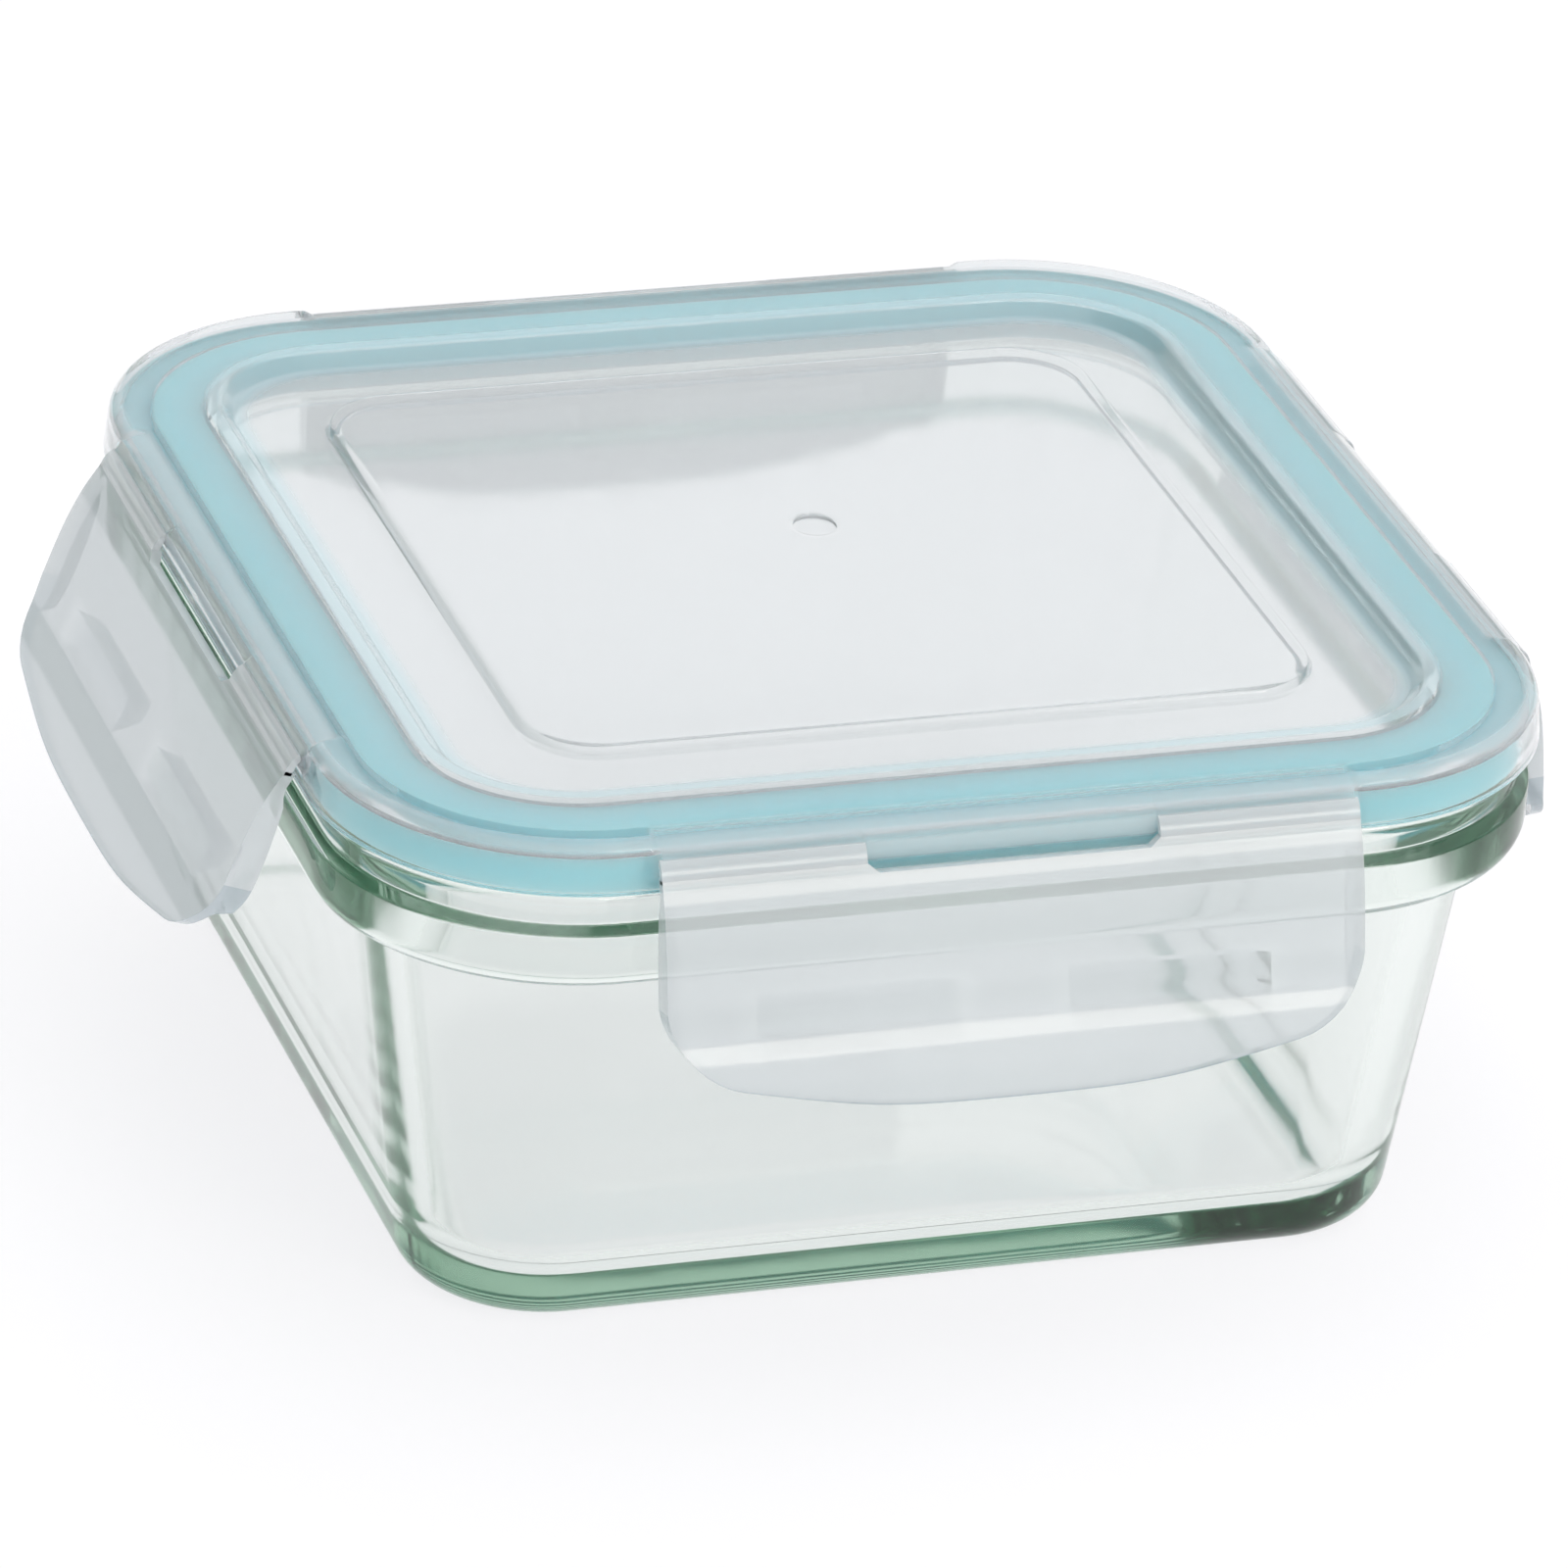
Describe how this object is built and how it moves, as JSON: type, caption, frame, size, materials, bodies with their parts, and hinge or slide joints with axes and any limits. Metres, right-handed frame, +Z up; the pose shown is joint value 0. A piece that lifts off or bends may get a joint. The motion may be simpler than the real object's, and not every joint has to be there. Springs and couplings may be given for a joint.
{
  "type": "glass food storage container with clip-on lid",
  "caption": "Square glass food container with a translucent lid, a silicone seal and living-hinge latches that snap under the rim.",
  "frame": {"origin": "centre of the dish's flat underside", "axes": "+Z up out of the dish, -Y towards the front latch, +X towards the right-hand latch"},
  "size_m": [0.1823, 0.1788, 0.0739],
  "materials": {
    "clear_glass": "clear pressed glass, faintly green where it is thick",
    "translucent_plastic": "translucent milky polypropylene with a soft gloss",
    "blue_silicone": "pale blue silicone rubber"
  },
  "bodies": {
    "dish": {"glass_dish": "clear_glass"},
    "lid": {"lid_panel": "translucent_plastic", "silicone_seal": "blue_silicone", "right_hinge_web_a": "translucent_plastic", "right_hinge_web_b": "translucent_plastic", "back_hinge_web_a": "translucent_plastic", "back_hinge_web_b": "translucent_plastic", "left_hinge_web_a": "translucent_plastic", "left_hinge_web_b": "translucent_plastic", "front_hinge_web_a": "translucent_plastic", "front_hinge_web_b": "translucent_plastic"},
    "right_flap": {"right_latch": "translucent_plastic"},
    "back_flap": {"back_latch": "translucent_plastic"},
    "left_flap": {"left_latch": "translucent_plastic"},
    "front_flap": {"front_latch": "translucent_plastic"}
  },
  "joints": [
    {"name": "lid_lift", "type": "slide", "parent": "dish", "child": "lid", "axis": [0, 0, 1], "range_m": [0, 0.12]},
    {"name": "right_latch_hinge", "type": "hinge", "parent": "lid", "child": "right_flap", "pos_m": [0.0801, 0, 0.0705], "axis": [0, -1, 0], "range_deg": [-5, 115], "deforming": ["right_hinge_web_a", "right_hinge_web_b"]},
    {"name": "back_latch_hinge", "type": "hinge", "parent": "lid", "child": "back_flap", "pos_m": [0, 0.0801, 0.0705], "axis": [1, 0, 0], "range_deg": [-5, 115], "deforming": ["back_hinge_web_a", "back_hinge_web_b"]},
    {"name": "left_latch_hinge", "type": "hinge", "parent": "lid", "child": "left_flap", "pos_m": [-0.0801, 0, 0.0705], "axis": [0, 1, 0], "range_deg": [-19, 101], "deforming": ["left_hinge_web_a", "left_hinge_web_b"]},
    {"name": "front_latch_hinge", "type": "hinge", "parent": "lid", "child": "front_flap", "pos_m": [0, -0.0801, 0.0705], "axis": [-1, 0, 0], "range_deg": [-12, 108], "deforming": ["front_hinge_web_a", "front_hinge_web_b"]}
  ]
}
